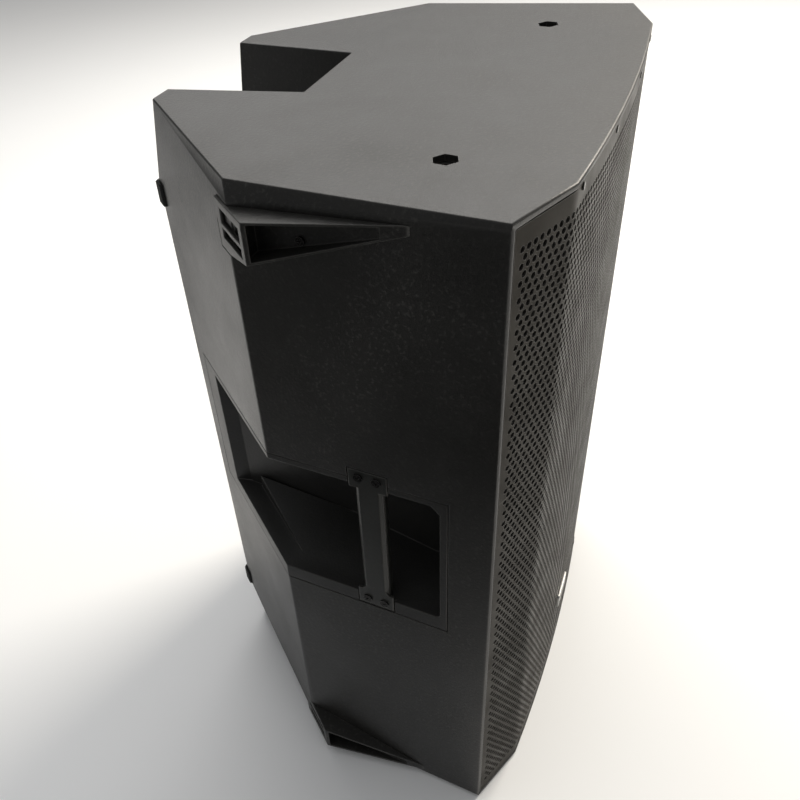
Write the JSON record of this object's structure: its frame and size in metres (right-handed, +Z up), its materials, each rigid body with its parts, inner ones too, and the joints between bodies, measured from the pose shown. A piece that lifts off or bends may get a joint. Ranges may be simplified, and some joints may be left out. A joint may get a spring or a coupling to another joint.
{
  "type": "pa speaker cabinet",
  "caption": "Upright two-way active PA speaker cabinet with wrap-round perforated grille, side grab bars in wrap-round cups, monitor wedge feet and a rear control recess.",
  "frame": {"origin": "on the floor under the middle of the cabinet, at the centre of its overall plan box", "axes": "+Z up, the grille faces -Y, +X towards the side on the right of the grille"},
  "size_m": [0.5018, 0.3936, 0.7],
  "materials": {
    "shell_plastic": "fine moulded grain",
    "baffle_plastic": "moulded",
    "grille_steel": "powder coat",
    "foam_cloth": "open-cell foam",
    "badge_metal": "brushed",
    "black_screw": "black oxide",
    "basket_metal": "cast, powder coat",
    "ferrite": "dull",
    "plated_steel": "zinc plate",
    "surround_cloth": "doped cloth",
    "cone_paper": "pressed pulp",
    "coil_copper": "wound",
    "spider_cloth": "phenolic cloth",
    "horn_plastic": "satin",
    "driver_metal": "paint",
    "handle_plastic": "glass-filled nylon",
    "cup_plastic": "fine moulded grain",
    "bumper_rubber": "moulded",
    "insert_steel": "zinc plate",
    "panel_aluminium": "powder coat",
    "sink_aluminium": "black anodised",
    "board_laminate": "solder resist",
    "component_plastic": "moulded",
    "knob_plastic": "soft touch",
    "jack_plastic": "satin",
    "lamp_plastic": "clear"
  },
  "bodies": {
    "cabinet": {"amp_panel": "panel_aluminium", "amp_panel_screws": "black_screw", "amplifier_board": "board_laminate", "amplifier_coil": "component_plastic", "baffle_screws": "black_screw", "board_standoffs": "plated_steel", "bottom_feet": "bumper_rubber", "button_switches": "component_plastic", "cabinet_shell": "shell_plastic", "combo_jack_lower": "jack_plastic", "combo_jack_upper": "jack_plastic", "compression_driver": "driver_metal", "driver_rear_cover": "component_plastic", "driver_screws": "black_screw", "fly_insert_left": "insert_steel", "fly_insert_right": "insert_steel", "front_badge": "badge_metal", "front_baffle": "baffle_plastic", "grille_foam": "foam_cloth", "grille_screws": "black_screw", "grille_sheet": "grille_steel", "handle_bar_left": "handle_plastic", "handle_bar_right": "handle_plastic", "handle_cup_left": "cup_plastic", "handle_cup_right": "cup_plastic", "handle_screws": "black_screw", "heat_sink": "sink_aluminium", "horn_flare": "horn_plastic", "horn_screws": "black_screw", "link_jack": "jack_plastic", "mains_inlet": "jack_plastic", "pole_socket": "baffle_plastic", "pole_socket_screws": "black_screw", "port_tube_left": "baffle_plastic", "port_tube_right": "baffle_plastic", "potentiometers": "component_plastic", "rear_bumpers": "bumper_rubber", "status_light": "lamp_plastic", "switch_frame": "jack_plastic", "wedge_foot_left_lower": "shell_plastic", "wedge_foot_left_upper": "shell_plastic", "wedge_foot_right_lower": "shell_plastic", "wedge_foot_right_upper": "shell_plastic", "wedge_foot_screws": "black_screw", "woofer_frame": "basket_metal", "woofer_magnet": "ferrite", "woofer_screws": "black_screw", "woofer_spider": "spider_cloth", "woofer_surround": "surround_cloth", "woofer_top_plate": "plated_steel", "woofer_yoke": "plated_steel"},
    "cone_assembly": {"woofer_cone": "cone_paper", "woofer_dust_cap": "cone_paper", "woofer_voice_coil": "coil_copper"},
    "upper_gain": {"gain_knob_upper": "knob_plastic"},
    "lower_gain": {"gain_knob_lower": "knob_plastic"},
    "level": {"level_knob": "knob_plastic"},
    "rocker": {"power_rocker": "knob_plastic"},
    "mode_push": {"mode_button": "knob_plastic"},
    "light_push": {"light_button": "knob_plastic"}
  },
  "joints": [
    {"name": "cone_travel", "type": "slide", "parent": "cabinet", "child": "cone_assembly", "axis": [0, 1, 0], "range_m": [-0.006, 0.006], "stiffness_N_per_m": 4000, "deforming": ["woofer_surround", "woofer_spider"]},
    {"name": "upper_gain_turn", "type": "hinge", "parent": "cabinet", "child": "upper_gain", "pos_m": [0, 0.063, 0.472], "axis": [0, 1, 0], "range_deg": [-150, 150]},
    {"name": "lower_gain_turn", "type": "hinge", "parent": "cabinet", "child": "lower_gain", "pos_m": [0, 0.063, 0.39], "axis": [0, 1, 0], "range_deg": [-150, 150]},
    {"name": "level_turn", "type": "hinge", "parent": "cabinet", "child": "level", "pos_m": [0, 0.063, 0.51], "axis": [0, 1, 0], "range_deg": [-150, 150]},
    {"name": "rocker_tilt", "type": "hinge", "parent": "cabinet", "child": "rocker", "pos_m": [0, 0.059, 0.252], "axis": [1, 0, 0], "range_deg": [-14, 0]},
    {"name": "mode_press", "type": "slide", "parent": "cabinet", "child": "mode_push", "axis": [0, -1, 0], "range_m": [0, 0.002], "stiffness_N_per_m": 300},
    {"name": "light_press", "type": "slide", "parent": "cabinet", "child": "light_push", "axis": [0, -1, 0], "range_m": [0, 0.002], "stiffness_N_per_m": 300}
  ]
}
